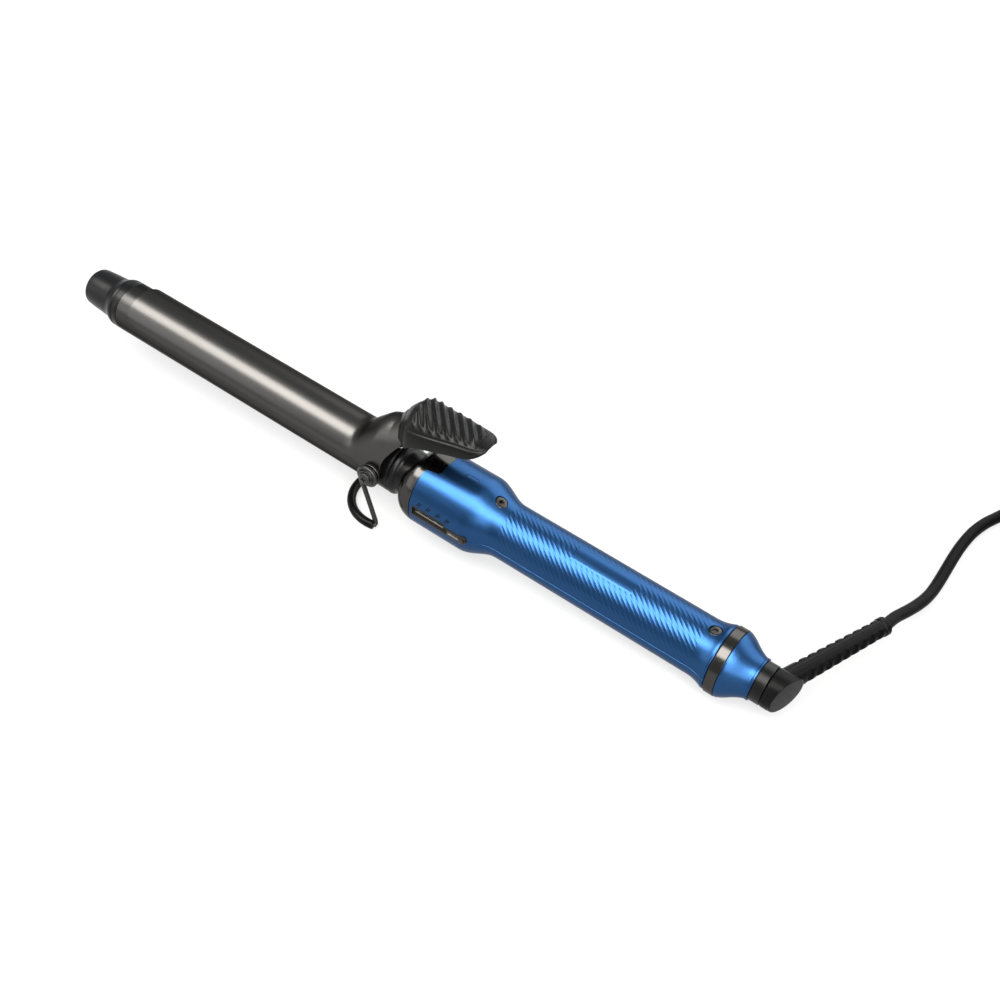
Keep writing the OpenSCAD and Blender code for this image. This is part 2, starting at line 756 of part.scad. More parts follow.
module plug_boot() {
    color("#1b1b1b") translate(plug_at) rotate([-90, 0, 0]) difference() {
        union() {
            translate([0, 0, 12.02]) cylinder(r1 = 6.6, r2 = 5.4, h = 5);
            translate([0, 0, 17]) cylinder(r1 = 4.6, r2 = 3.7, h = 19);
        }
        for (i = [0 : 3]) for (side = [-1, 1])
            translate([side * 4 - 1, -2.2, 19.5 + i * 4]) cube([2, 4.4, 2]);
    }
}

cool_tip();
barrel();
heat_spreader_upper();
heat_spreader_lower();
ptc_heater();
thermal_fuse();
temperature_sensor();
heater_leads();
base_collar();
pivot_screws();
pivot_bushes();
pivot_washers();
front_trim();
handle_upper();
handle_lower();
shell_screws();
screw_plugs();
slider_bezel();
slider_rail();
circuit_board();
slide_switch();
indicator_led();
indicator_lens();
tail_ring();
tail_cone();
swivel_bush();
contact_springs();
clamp_sheet();
thumb_pad();
pad_screw();
clamp_spring();
stand_wire();
stand_sleeve();
slider_knob();
slider_inlay();
swivel_knob();
swivel_clip();
slip_rings();
strain_relief();
cord_lead();
cord_coil();
cord_tail();
plug_body();
plug_pins();
plug_boot();
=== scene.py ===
import json
import math

import bmesh
import bpy
from mathutils import Matrix, Vector

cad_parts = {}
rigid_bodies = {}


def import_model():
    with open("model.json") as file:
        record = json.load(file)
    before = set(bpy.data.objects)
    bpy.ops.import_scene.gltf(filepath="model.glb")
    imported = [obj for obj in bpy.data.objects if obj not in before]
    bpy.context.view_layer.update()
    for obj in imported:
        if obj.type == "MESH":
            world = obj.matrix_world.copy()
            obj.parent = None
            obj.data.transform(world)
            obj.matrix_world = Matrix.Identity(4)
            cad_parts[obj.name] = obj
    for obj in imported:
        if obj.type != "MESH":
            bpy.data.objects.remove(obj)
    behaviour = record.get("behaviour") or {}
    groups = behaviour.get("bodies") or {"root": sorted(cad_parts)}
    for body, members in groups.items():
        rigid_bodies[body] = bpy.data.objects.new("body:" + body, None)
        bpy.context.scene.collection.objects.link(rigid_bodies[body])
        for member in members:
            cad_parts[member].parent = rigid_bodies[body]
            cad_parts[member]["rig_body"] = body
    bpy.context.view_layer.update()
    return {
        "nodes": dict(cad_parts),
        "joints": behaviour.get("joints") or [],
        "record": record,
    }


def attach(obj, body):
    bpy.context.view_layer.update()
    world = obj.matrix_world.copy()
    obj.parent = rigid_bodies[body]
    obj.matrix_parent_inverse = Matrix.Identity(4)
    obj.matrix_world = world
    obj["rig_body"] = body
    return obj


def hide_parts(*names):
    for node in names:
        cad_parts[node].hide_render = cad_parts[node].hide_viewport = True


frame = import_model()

# ---------- the iron's own frame: station along it, across (far side +), up, in mm ----------
swivel = next(j for j in frame["joints"] if j["name"] == "cord_swivel")
axis_cos, axis_sin = swivel["axis"][0], -swivel["axis"][2]
ALONG = Vector((axis_cos, 0, -axis_sin))
UP = Vector((axis_sin, 0, axis_cos))
KNOB = Vector(swivel["pos_m"])
KNOB_S = 362  # station of the swivel's joint


def at(s, y, z):
    """World point in metres of a station, an offset across and a height in the iron's frame."""
    return KNOB + (ALONG * (s - KNOB_S) + Vector((0, y, 0)) + UP * z) / 1000


# ---------- camera ----------
CAMERA_PLACE = (0.296007, -0.3518, 0.4593)
CAMERA_AXES = (  # right, up and backward
    (0.80569, 0.59161, 0.02911), (-0.43254, 0.55406, 0.71128), (0.40468, -0.58567, 0.7023),
)
cam = bpy.data.objects.new("camera", bpy.data.cameras.new("camera"))
bpy.context.scene.collection.objects.link(cam)
cam.data.lens = 50.22
cam.data.sensor_width = 36
cam.data.clip_start = 0.01
cam.matrix_world = Matrix.Translation(CAMERA_PLACE) @ Matrix(CAMERA_AXES).transposed().to_4x4()
bpy.context.scene.camera = cam

# ---------- cord: its path from the strain relief to the plug ----------
CORD_D = 0.0054
SLANT = math.radians(19)  # the strain relief and the knob's end face are both turned by this
relief_dir = Vector((math.sin(SLANT), math.cos(SLANT), -0.045)).normalized()
relief_start = Vector((363.2, 0, 0.6))


def on_relief(t):
    """World point in metres on the strain relief's centreline, t mm from the knob's axis."""
    return at(*(relief_start + relief_dir * t))


lead = [
    (212.3, 70, 9), (214.3, 77, 7.6), (216, 84, 6), (217.3, 91, 4.6), (217.9, 98, 3.5),
    (217.9, 105, 2.9), (217.6, 113, 2.7), (217.2, 121, 2.7), (216.9, 129, 2.7), (217, 137, 2.7),
    (217.8, 146, 2.7), (219.9, 155, 2.7), (223.4, 163.7, 2.7), (226.9, 172.5, 2.7),
    (229.6, 181.5, 2.7),
]
tail = [
    (308.3, 180, 18.5), (309.2, 170, 16.4), (310.6, 160, 13.2), (312, 150, 9.8), (312.8, 142, 7.6),
    (313, 134, 6.9),
]


def smooth_path(points, step):
    """Catmull-Rom through the points, with a point about every step."""
    out = []
    for i in range(len(points) - 1):
        p0, p1 = points[max(i - 1, 0)], points[i]
        p2, p3 = points[i + 1], points[min(i + 2, len(points) - 1)]
        n = max(1, round((p2 - p1).length / step))
        for k in range(n):
            t = k / n
            out.append(
                0.5 * (2 * p1 + (p2 - p0) * t + (2 * p0 - 5 * p1 + 4 * p2 - p3) * t**2
                       + (3 * p1 - p0 - 3 * p2 + p3) * t**3)
            )
    return out + [points[-1]]


COIL_CENTRE = (270, 190)
COIL_INNER, COIL_OUTER = 21.95, 38.25
COIL_PITCH = 5.43  # between turns of one layer
LAYER_RISE = 5.42  # between layers
LAYER_TURNS = (1080, 1080, 1080, 1050)  # in degrees
CLIMB = 70  # degrees over which the cord rises to the next layer


def coil_points():
    """About twelve turns in four layers, wound in and out about one centre, turning clockwise."""
    out, theta, z = [], 180.0, 2.7

    def put(r, angle, height):
        a = math.radians(angle)
        x, y = COIL_CENTRE
        out.append(Vector((x + r * math.cos(a), y + r * math.sin(a), height)))

    for layer, turn in enumerate(LAYER_TURNS):
        inward = layer % 2 == 0
        r0 = COIL_OUTER if inward else COIL_INNER
        n = turn // 10
        for k in range(n + 1):
            r = r0 + (-1 if inward else 1) * COIL_PITCH * turn * k / n / 360
            put(r, theta - turn * k / n, z)
        theta -= turn
        if layer < len(LAYER_TURNS) - 1:
            for k in range(1, 7):
                f = k / 7
                put(r, theta - CLIMB * f, z + LAYER_RISE * (3 * f * f - 2 * f**3))
            theta -= CLIMB
            z += LAYER_RISE
    return out


start = [on_relief(61) * 1000, on_relief(65.4) * 1000]
lead = [Vector(p) for p in lead]
tail = [Vector(p) for p in tail]
route = smooth_path(start + lead + coil_points() + tail, 2.5)
route = [p / 1000 for p in route]
cord_len = sum((b - a).length for a, b in zip(route, route[1:]))
curve = bpy.data.curves.new("mains_cord", "CURVE")
curve.dimensions = "3D"
curve.bevel_depth = CORD_D / 2
curve.bevel_resolution = 6
curve.use_fill_caps = True
spline = curve.splines.new("POLY")
spline.points.add(len(route) - 1)
for point, p in zip(spline.points, route):
    point.co = (*p, 1)
cord = bpy.data.objects.new("mains_cord", curve)
bpy.context.scene.collection.objects.link(cord)

# ---------- materials ----------


def material(name, color, rough, metal=0.0, vary=0.1, patch=70.0, grain=2500.0, bump=0.00001,
             stretch=(1, 1, 1), coat=0.0, coat_rough=0.15, specular=0.5, wear=0.06, glass=0.0,
             glow=0.0, tint=1.0):
    """A surface with a mottled colour, scratched gloss along the iron and a fine grain."""
    m = bpy.data.materials.new(name)
    m.use_nodes = True
    tree = m.node_tree
    new, link = tree.nodes.new, tree.links.new
    bsdf = tree.nodes["Principled BSDF"]
    where = new("ShaderNodeTexCoord")
    turn = new("ShaderNodeMapping")
    turn.inputs["Rotation"].default_value = (0, -math.asin(axis_sin), 0)
    turn.inputs["Scale"].default_value = stretch
    link(where.outputs["Object"], turn.inputs["Vector"])

    def noise(scale, detail, vector=turn):
        n = new("ShaderNodeTexNoise")
        n.inputs["Scale"].default_value = scale
        n.inputs["Detail"].default_value = detail
        link(vector.outputs["Vector"], n.inputs["Vector"])
        return n.outputs["Fac"]

    ramp = new("ShaderNodeValToRGB")
    ramp.color_ramp.elements[0].position = 0.3
    ramp.color_ramp.elements[1].position = 0.7
    ramp.color_ramp.elements[0].color = (*[c * (1 - vary) for c in color], 1)
    ramp.color_ramp.elements[1].color = (*[min(1, c * (1 + vary)) for c in color], 1)
    link(noise(patch, 4), ramp.inputs["Fac"])
    link(ramp.outputs["Color"], bsdf.inputs["Base Color"])

    scratch = new("ShaderNodeMapping")
    scratch.inputs["Scale"].default_value = (0.05, 1, 1)
    link(turn.outputs["Vector"], scratch.inputs["Vector"])
    gloss = new("ShaderNodeMapRange")
    gloss.inputs["From Min"].default_value = 0.35
    gloss.inputs["From Max"].default_value = 0.7
    gloss.inputs["To Min"].default_value = max(0.02, rough - wear)
    gloss.inputs["To Max"].default_value = min(1, rough + wear)
    link(noise(700, 6, scratch), gloss.inputs["Value"])
    link(gloss.outputs["Result"], bsdf.inputs["Roughness"])

    relief = new("ShaderNodeBump")
    relief.inputs["Strength"].default_value = 0.6
    relief.inputs["Distance"].default_value = bump
    link(noise(grain, 3), relief.inputs["Height"])
    link(relief.outputs["Normal"], bsdf.inputs["Normal"])
    bsdf.inputs["Metallic"].default_value = metal
    bsdf.inputs["Specular IOR Level"].default_value = specular
    bsdf.inputs["Coat Weight"].default_value = coat
    bsdf.inputs["Coat Roughness"].default_value = coat_rough
    bsdf.inputs["Specular Tint"].default_value = (tint, tint, tint, 1)
    bsdf.inputs["Transmission Weight"].default_value = glass
    bsdf.inputs["Emission Color"].default_value = (1, 1, 1, 1)
    bsdf.inputs["Emission Strength"].default_value = glow
    return m


M = {
    "black_plastic": material("black_moulded", (0.0018, 0.0018, 0.0018), 0.34, specular=0.16),
    "grip_plastic": material("black_pad", (0.0026, 0.0025, 0.0024), 0.33, bump=0.000008,
                             specular=0.13),
    "blue_shell": material("blue_lacquer", (0.0158, 0.058, 0.15), 0.33, metal=1.0, vary=0.025,
                           patch=30, bump=0.000004, coat=0.06, coat_rough=0.25, wear=0.03,
                           tint=0.6),
    "gunmetal": material("gunmetal_lacquer", (0.052, 0.0495, 0.0465), 0.2, metal=1.0, vary=0.05,
                         bump=0.000004, wear=0.03, tint=0.6),
    "clamp_steel": material("coated_sheet", (0.066, 0.0632, 0.06), 0.3, metal=1.0, vary=0.02,
                            patch=25, bump=0.000003, wear=0.015, tint=0.35),
    "barrel_coat": material("barrel_coating", (0.058, 0.0553, 0.053), 0.3, metal=1.0, vary=0.03,
                            bump=0.000003, wear=0.02, tint=0.35),
    "spreader_alloy": material("extruded_alloy", (0.6, 0.61, 0.62), 0.35, metal=1.0,
                               stretch=(0.2, 1, 1)),
    "heater_ceramic": material("fired_ceramic", (0.85, 0.82, 0.76), 0.6, vary=0.04),
    "sensor_glass": material("glass_bead", (0.75, 0.45, 0.15), 0.15, glass=0.4),
    "lead_sleeve": material("glass_braid", (0.8, 0.77, 0.68), 0.85, bump=0.00008, grain=3000),
    "dark_steel": material("black_oxide", (0.008, 0.0078, 0.0076), 0.32, metal=0.2, specular=0.35),
    "plain_steel": material("zinc_plate", (0.5, 0.5, 0.49), 0.3, metal=1.0),
    "chrome_bar": material("polished_bar", (0.17, 0.163, 0.152), 0.28, metal=1.0, vary=0.02,
                           bump=0.000001, wear=0.005),
    "bronze_frame": material("dark_bronze_moulding", (0.009, 0.0074, 0.006), 0.34, metal=0.1,
                             specular=0.3),
    "board": material("board_laminate", (0.03, 0.17, 0.07), 0.5, vary=0.3, patch=900),
    "switch_case": material("switch_moulding", (0.28, 0.28, 0.29), 0.5),
    "led": material("clear_epoxy", (0.82, 0.82, 0.78), 0.12, glass=0.3),
    "lens": material("tinted_window", (0.0145, 0.052, 0.138), 0.27, metal=1.0, vary=0.02,
                     coat=0.1, coat_rough=0.2),
    "brass_contact": material("stamped_brass", (0.62, 0.42, 0.18), 0.3, metal=1.0),
    "rubber_black": material("black_rubber", (0.0016, 0.0016, 0.0016), 0.3, bump=0.000006,
                             specular=0.06),
    "cord_black": material("cord_sheath", (0.0016, 0.0016, 0.0016), 0.4, specular=0.04),
    "plug_brass": material("plated_pin", (0.7, 0.66, 0.55), 0.22, metal=1.0),
    "knob_plastic": material("black_knob", (0.003, 0.003, 0.003), 0.3, bump=0.000006,
                             specular=0.04),
    "dark_mark": material("pad_print", (0.0015, 0.004, 0.01), 0.6, specular=0.1),
}

# ---------- mesh helpers ----------


def piece(name, verts, faces, finish, body, replaced=(), sharp=32, look=None):
    """A mesh given in the iron's own frame, standing in for CAD nodes, on one body."""
    return piece_world(name, [at(*v) for v in verts], faces, finish, body, replaced, sharp, look)


def piece_world(name, verts, faces, finish, body, replaced=(), sharp=32, look=None):
    """The same for points in world metres."""
    mesh = bpy.data.meshes.new(name)
    mesh.from_pydata([tuple(v) for v in verts], [], faces)
    mesh.validate()
    bm = bmesh.new()
    bm.from_mesh(mesh)
    bmesh.ops.remove_doubles(bm, verts=bm.verts, dist=1e-7)
    bmesh.ops.recalc_face_normals(bm, faces=bm.faces)
    bm.to_mesh(mesh)
    bm.free()
    obj = bpy.data.objects.new(name, mesh)
    bpy.context.scene.collection.objects.link(obj)
    return dress(obj, finish, body, replaced, sharp, look)


def dress(obj, finish, body, replaced=(), sharp=32, look=None):
    """Gives a mesh object its material, smooth shading, body and the nodes it replaces."""
    mesh = obj.data
    mesh.materials.clear()
    mesh.materials.append(M[look or finish])
    mesh.shade_smooth()
    mesh.set_sharp_from_angle(angle=math.radians(sharp))
    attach(obj, body)
    if replaced:
        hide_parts(*replaced)
    return obj


def evaluated(obj):
    """The object's mesh with its modifiers applied."""
    bpy.context.view_layer.update()
    graph = bpy.context.evaluated_depsgraph_get()
    return bpy.data.meshes.new_from_object(obj.evaluated_get(graph))


def cut(obj, cutter, how="DIFFERENCE"):
    """Cuts one mesh object with another and drops the cutter."""
    mod = obj.modifiers.new("cut", "BOOLEAN")
    mod.operation = how
    mod.object = cutter
    mod.solver = "EXACT"
    done = evaluated(obj)
    obj.modifiers.clear()
    old, obj.data = obj.data, done
    done.name = old.name
    bpy.data.objects.remove(cutter)
    return obj


def rounded(profile, radius, steps=4):
    """A profile of (station, radius) points with rounded corners; a third number in a point
    is that corner's own size."""
    out = []
    for i, p in enumerate(profile):
        if i in (0, len(profile) - 1) or p[1] == 0:
            out.append(p[:2])
            continue
        a, b, c = (Vector(q[:2]) for q in (profile[i - 1], p, profile[i + 1]))
        u, v = (a - b), (c - b)
        r = p[2] if len(p) > 2 else radius
        size = min(r, u.length * 0.45, v.length * 0.45)
        if size < 0.01 or u.normalized().dot(v.normalized()) < -0.995:
            out.append(p[:2])
            continue
        p0, p1 = b + u.normalized() * size, b + v.normalized() * size
        for k in range(steps + 1):
            t = k / steps
            out.append(tuple(p0 * (1 - t) ** 2 + b * 2 * t * (1 - t) + p1 * t**2))
    return out


def turned(profile, seg=160, closed=False, place=None):
    """Vertices and faces of a profile revolved about the iron's axis."""
    place = place or (lambda s, r, a: (s, r * math.sin(a), r * math.cos(a)))
    verts, faces, n = [], [], len(profile)
    for s, r in profile:
        verts += [place(s, r, 2 * math.pi * k / seg) for k in range(seg)]
    for i in range(n if closed else n - 1):
        j = (i + 1) % n
        for k in range(seg):
            l = (k + 1) % seg
            faces.append((i * seg + k, i * seg + l, j * seg + l, j * seg + k))
    return verts, faces


def ring(name, profile, finish, body, replaced=(), radius=0.3, closed=True, seg=160):
    return piece(name, *turned(rounded(profile, radius), seg, closed), finish, body, replaced)


PIVOT = (165.2, 3.4)  # station and height


def crosswise(side):
    """Places a profile of (distance across, radius) about the pivot, on one side of the iron."""
    def place(y, r, a):
        return (PIVOT[0] + r * math.cos(a), side * y, PIVOT[1] + r * math.sin(a))
    return place


def both_sides(profile, radius, seg, closed):
    """A profile turned about the pivot, on the near and on the far side."""
    return [turned(rounded(profile, radius), seg, closed, crosswise(side)) for side in (-1, 1)]


def joined(parts):
    """Joins lists of (vertices, faces) into one."""
    verts, faces = [], []
    for v, f in parts:
        n = len(verts)
        verts += v
        faces += [tuple(i + n for i in face) for face in f]
    return verts, faces


def lofted(sections):
    """Vertices and faces of a solid through closed sections with the same number of points."""
    n, m = len(sections[0]), len(sections)
    verts = [p for sec in sections for p in sec]
    faces = []
    for i in range(m - 1):
        for k in range(n):
            l = (k + 1) % n
            faces.append((i * n + k, i * n + l, (i + 1) * n + l, (i + 1) * n + k))
    faces.append(tuple(range(n - 1, -1, -1)))
    faces.append(tuple((m - 1) * n + k for k in range(n)))
    return verts, faces


def along_path(points, radius, seg, end_round=0.0):
    """A tube along points, whose ends may be rounded."""
    n = len(points)
    tang = [(points[min(i + 1, n - 1)] - points[max(i - 1, 0)]).normalized() for i in range(n)]
    side = tang[0].orthogonal().normalized()
    sections = []
    for i in range(n):
        side = (side - tang[i] * side.dot(tang[i])).normalized()
        up = tang[i].cross(side)
        rows = [(points[i], radius)]
        if end_round and i in (0, n - 1):
            sign = -1 if i == 0 else 1
            rows = [
                (points[i] + tang[i] * sign * end_round * math.sin(f),
                 radius - end_round * (1 - math.cos(f)))
                for f in (0, 0.5, 1.0, 1.35, math.pi / 2)
            ]
            rows = rows[::-1] if i == 0 else rows
        for c, r in rows:
            sections.append(
                [c + (side * math.cos(a) + up * math.sin(a)) * r
                 for a in (2 * math.pi * k / seg for k in range(seg))]
            )
    return lofted(sections)


def interpolated(rows, s):
    """Catmull-Rom value of the rows [s, a, b, ...] at a station."""
    i = 0
    while i < len(rows) - 2 and rows[i + 1][0] <= s:
        i += 1
    r1, r2 = rows[i], rows[i + 1]
    r0, r3 = rows[max(i - 1, 0)], rows[min(i + 2, len(rows) - 1)]
    h = r2[0] - r1[0]
    t = (s - r1[0]) / h
    out = []
    for j in range(1, len(r1)):
        m1 = (r2[j] - r0[j]) / (r2[0] - r0[0]) * h
        m2 = (r3[j] - r1[j]) / (r3[0] - r1[0]) * h
        out.append(
            (2 * t**3 - 3 * t**2 + 1) * r1[j] + (t**3 - 2 * t**2 + t) * m1
            + (3 * t**2 - 2 * t**3) * r2[j] + (t**3 - t**2) * m2
        )
    return out


def softened(node, finish, width, angle=30):
    """A CAD node's shape as its own mesh, with its flat facets merged and its edges rounded."""
    src = frame["nodes"][node]
    mesh = src.data.copy()
    bm = bmesh.new()
    bm.from_mesh(mesh)
    bmesh.ops.remove_doubles(bm, verts=bm.verts, dist=2e-6)
    bmesh.ops.dissolve_limit(bm, angle_limit=math.radians(1), verts=bm.verts, edges=bm.edges)
    bm.to_mesh(mesh)
    bm.free()
    obj = bpy.data.objects.new(node + "_piece", mesh)
    bpy.context.scene.collection.objects.link(obj)
    mod = obj.modifiers.new("edge", "BEVEL")
    mod.width = width / 1000
    mod.segments = 3
    mod.limit_method = "ANGLE"
    mod.angle_limit = math.radians(angle)
    mod.use_clamp_overlap = True
    done = evaluated(obj)
    obj.modifiers.clear()
    obj.data = done
    return dress(obj, finish, src["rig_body"], (node,), 35)


def blend_in(a, b, x):
    """Rises smoothly from 0 at a to 1 at b."""
    t = min(1, max(0, (x - a) / (b - a)))
    return 3 * t * t - 2 * t**3


# ---------- heated end ----------
ring("tip_cap", [
    (-26, 0), (-26, 7.4, 1.0), (-25.5, 8.7, 0.8), (-24.6, 9.4, 0.8), (-19.6, 9.9),
    (-14.7, 10.2, 3), (-9.6, 10.6, 2), (-7.6, 11.4, 1), (-5.6, 12.4, 1), (-4.1, 12.42, 0.15),
    (-3.9, 12.05, 0.1), (-3.5, 12.05, 0.1), (-3.3, 12.45, 0.15), (-0.05, 12.45), (-0.05, 11.4),
    (7.9, 11.4), (7.9, 9), (-20, 7.6), (-20, 0),
], "black_plastic", "iron", ("cool_tip",), radius=0.4, closed=False)
ring("barrel_tube", [(0.05, 11.7), (0.05, 12.5), (160, 12.5), (160, 11.7)],
     "barrel_coat", "iron", ("barrel",), 0.2)

# Stations of the clamp: [station, radius across, height of the ridge, half the angle it covers]
CLAMP = [
    (8.6, 13.7, 13.7, 62), (9.4, 13.7, 13.7, 69), (11, 13.7, 13.7, 74), (15, 13.7, 13.7, 78),
    (40, 13.7, 13.7, 78),
    (75, 13.7, 13.7, 78), (110, 13.7, 13.7, 78), (145, 13.7, 13.7, 78), (149, 13.75, 14.2, 78),
    (152, 13.9, 16.4, 81), (155, 14.2, 19.6, 85), (158, 14.6, 22.6, 88), (161, 14.9, 25.6, 90),
    (163, 15, 27.4, 92.5), (166, 15, 29, 93), (168.6, 15, 29.9, 93), (169.2, 15, 30.1, 88),
    (169.8, 15, 30.4, 69), (172.7, 15, 31.8, 56), (175.5, 15, 33, 48), (178, 15, 34, 41),
    (180.5, 15, 35, 33), (182.5, 15, 35.6, 22),
]
SHEET = 0.9


EDGE_ROUND = 0.28


def clamp_section(s, n=40):
    """The clamp's curved sheet across one station, out along its top and back underneath."""
    w, ridge, half = interpolated(CLAMP, s)
    out = []
    for inset, order in ((0, range(n + 1)), (SHEET, range(n, -1, -1))):
        for i in order:
            f = math.radians(half) * (2 * i / n - 1)
            lift = 0
            if i in (0, n):
                lift = EDGE_ROUND if inset == 0 else -EDGE_ROUND
            out.append((s, (w - inset - lift) * math.sin(f), (ridge - inset - lift) * math.cos(f)))
    return out


stops = [8.6, 8.75, 9, 9.4, 10, 11, 12, 13.5, 15] + [20 + 5 * i for i in range(25)]
stops += [145 + 0.75 * i for i in range(31)] + [168.6, 168.9, 169.2, 169.5, 169.8]
stops += [170.5 + i for i in range(12)] + [182.5]
sheet = lofted([clamp_section(s) for s in sorted(set(stops))])
ears = both_sides([(13.95, 0), (13.95, 5), (15.25, 5), (15.25, 0)], 0.3, 72, False)
piece("clamp_spoon", *joined([sheet] + ears), "clamp_steel", "clamp", ("clamp_sheet",), 38)

# ---------- thumb pad ----------
# Stations of the pad: [station, half width, rim height, crest height, height under the crest]
PAD = [
    (171, 8.6, 27.5, 33.4, 31.5), (172, 9.2, 27.2, 35, 31.9), (173.5, 10.1, 27, 37.4, 32.5),
    (175, 10.9, 27, 39.7, 33.3), (176.6, 11.6, 27.1, 41.7, 34.2), (178, 12.1, 27.4, 43.1, 35),
    (179.4, 12.5, 27.8, 43.9, 35.8), (181, 12.7, 28.4, 44.1, 36.6), (183, 12.8, 29.4, 43.8, 37.4),
    (186, 12.7, 31, 43.3, 38.2), (190, 12.3, 32.4, 43.2, 38.9), (195, 11.7, 33.8, 43.5, 39.6),
    (200, 11, 35.2, 43.9, 40.4), (205, 10.1, 36.3, 44.2, 41), (210, 9.4, 37.5, 44.4, 41.4),
    (213.5, 8.5, 38.9, 44.3, 41.7), (216.2, 6.7, 40.5, 43.8, 42), (218, 4, 42, 43.2, 42.6),
]
PAD_START, PAD_END = 171.0, 218
RIB_PITCH = 4.95
RIB_SLOPE = -0.98
RIB_HEIGHT = 1.0
LINE_DEPTH = 0.32
SHEAR = 3.9  # how far the pad's front edge is set back at its sides


def rib_rise(s, y, w):
    """Height over the pad's smooth surface: its ribs, less the line round its panel and its lip."""
    inside = w - (2.4 if y < 0 else 2.9) - abs(y)
    panel = blend_in(0, 2.2 if y < 0 else 1.0, inside)
    panel = panel * blend_in(177.5, 181, s + 0.3 * y) * blend_in(213.5, 210, s)
    phase = ((s - RIB_SLOPE * y - 181) / RIB_PITCH) % 1.0
    wave = max(0.0, math.cos((phase - 0.5) * 2 * math.pi) * 0.5 + 0.5) ** 1.25
    line = math.exp(-((w - 1.7 - abs(y)) / 0.28) ** 2) * blend_in(176, 180, s)
    rear = math.exp(-((s - 213.2 - 0.02 * y * y) / 0.3) ** 2)
    rear = rear * blend_in(0.5, -0.5, abs(y) - w + 1.9)
    lip = 0.4 * blend_in(0.9, 0.3, abs(s - 174.2))
    return RIB_HEIGHT * wave * panel - LINE_DEPTH * max(line, rear) - lip


def pad_sections():
    """Sections of the pad, each out over its top and back along its hollow underside."""
    n, out = 96, []
    stations = []
    s = PAD_START
    while s < PAD_END - 0.05:
        stations.append(s)
        s += 0.28
    for s in stations + [PAD_END]:
        w, rim, crest, under = interpolated(PAD, s)
        wall = min(1.5, 0.3 * w)
        shear = SHEAR * blend_in(186, 172, s)
        sec = []
        for i in range(n + 1):
            f = math.radians(90 * (2 * i / n - 1))
            y = w * math.copysign(abs(math.sin(f)) ** 0.85, math.sin(f))
            z = rim + (crest - rim) * abs(math.cos(f)) ** 0.75
            up = rib_rise(s, y, w)
            normal = Vector((0, y * (crest - rim) / w, (z - rim + 0.8) * w / (crest - rim)))
            if normal.length > 0:
                normal.normalize()
            sec.append((s + shear * abs(math.sin(f)), y + normal.y * up, z + normal.z * up))
        for i in range(n, -1, -1):
            f = math.radians(90 * (2 * i / n - 1))
            sec.append((s + shear * abs(math.sin(f)), (w - wall) * math.sin(f),
                        rim + 0.3 + (under - rim - 0.3) * math.cos(f)))
        out.append(sec)
    return out


piece("thumb_lever_pad", *lofted(pad_sections()), "black_plastic", "clamp", ("thumb_pad",), 50,
      "grip_plastic")

# ---------- base and pivot ----------
base = turned(rounded([
    (150, 9.6), (150, 11.5), (160.05, 11.5), (160.05, 12.5), (171.1, 12.5, 0.2),
    (171.4, 12.0, 0.2), (172.0, 12.0, 0.2), (172.4, 12.65, 0.3), (173.4, 12.65, 0.4),
    (174.4, 12.1, 0.6), (175.3, 11.1, 0.5), (176, 10.9), (194, 10.9), (194, 9.6),
], 0.3), 160, True)
bosses = both_sides([(9, 0), (9, 3.4), (13.6, 3.4), (13.6, 0)], 0.2, 48, False)
piece("barrel_base", *joined([base] + bosses), "black_plastic", "iron", ("base_collar",))

sleeves = both_sides([(15.85, 1.6), (15.85, 3.39), (18.5, 3.39), (18.5, 1.6)], 0.15, 72, True)
piece("pivot_sleeves", *joined(sleeves), "plain_steel", "iron", ("pivot_bushes",))
washers = [
    turned(rounded([(y, 1.56), (y, r), (y + t, r), (y + t, 1.56)], 0.1), 72, True, crosswise(side))
    for side in (-1, 1) for y, r, t in ((15.55, 4.4, 0.3), (18.55, 3.9, 0.4))
]
piece("pivot_rings", *joined(washers), "dark_steel", "iron", ("pivot_washers",))

RECESS_LONG, RECESS_WIDE = 1.6, 0.36  # half sizes of an arm of the cross recess


def cross_head(side):
    """A flat screw head with a cross recess, turned a little."""
    head = rounded([
        (13.5, 0), (13.5, 1.5), (18.96, 1.5), (18.96, 3.1, 0.1), (19.7, 3.1, 0.45),
        (20.2, 2.4, 0.3), (20.25, 0),
    ], 0.1)
    head = turned(head, 72, False, crosswise(side))
    obj = piece("screw_side", *head, "dark_steel", "iron")
    for turn in (20, 110):
        a = math.radians(turn)
        ex, ez = (math.cos(a), math.sin(a)), (-math.sin(a), math.cos(a))
        verts = [
            (PIVOT[0] + ex[0] * i * RECESS_LONG + ez[0] * k * RECESS_WIDE, side * j,
             PIVOT[1] + ex[1] * i * RECESS_LONG + ez[1] * k * RECESS_WIDE)
            for j in (19.55, 21) for i, k in ((-1, -1), (1, -1), (1, 1), (-1, 1))
        ]
        faces = [(0, 1, 2, 3), (7, 6, 5, 4), (0, 4, 5, 1), (1, 5, 6, 2), (2, 6, 7, 3), (3, 7, 4, 0)]
        cut(obj, piece("cutter", verts, faces, "dark_steel", "iron"))
    return obj


for side, name in ((-1, "pivot_screw_near"), (1, "pivot_screw_far")):
    screw = cross_head(side)
    screw.name = name
    dress(screw, "dark_steel", "iron", ("pivot_screws",))

# ---------- stand ----------
SLEEVE_R, WIRE_R, FOOT_R = 2.1, 1.15, 19.6
EYE_Y = 17.2  # distance of an eyelet's middle from the iron's axis
EYE_R, EYE_IN, EYE_OUT = 4.54, 1.1, 1.08  # of the eyelet, and of its wire in and across
bow_c = at(165.6, 0, 0) * 1000
bow_c.z = SLEEVE_R


def bow(a):
    """World point in mm on the bow of the foot."""
    a = math.radians(a)
    return Vector((bow_c.x + FOOT_R * math.cos(a), FOOT_R * math.sin(a), SLEEVE_R))


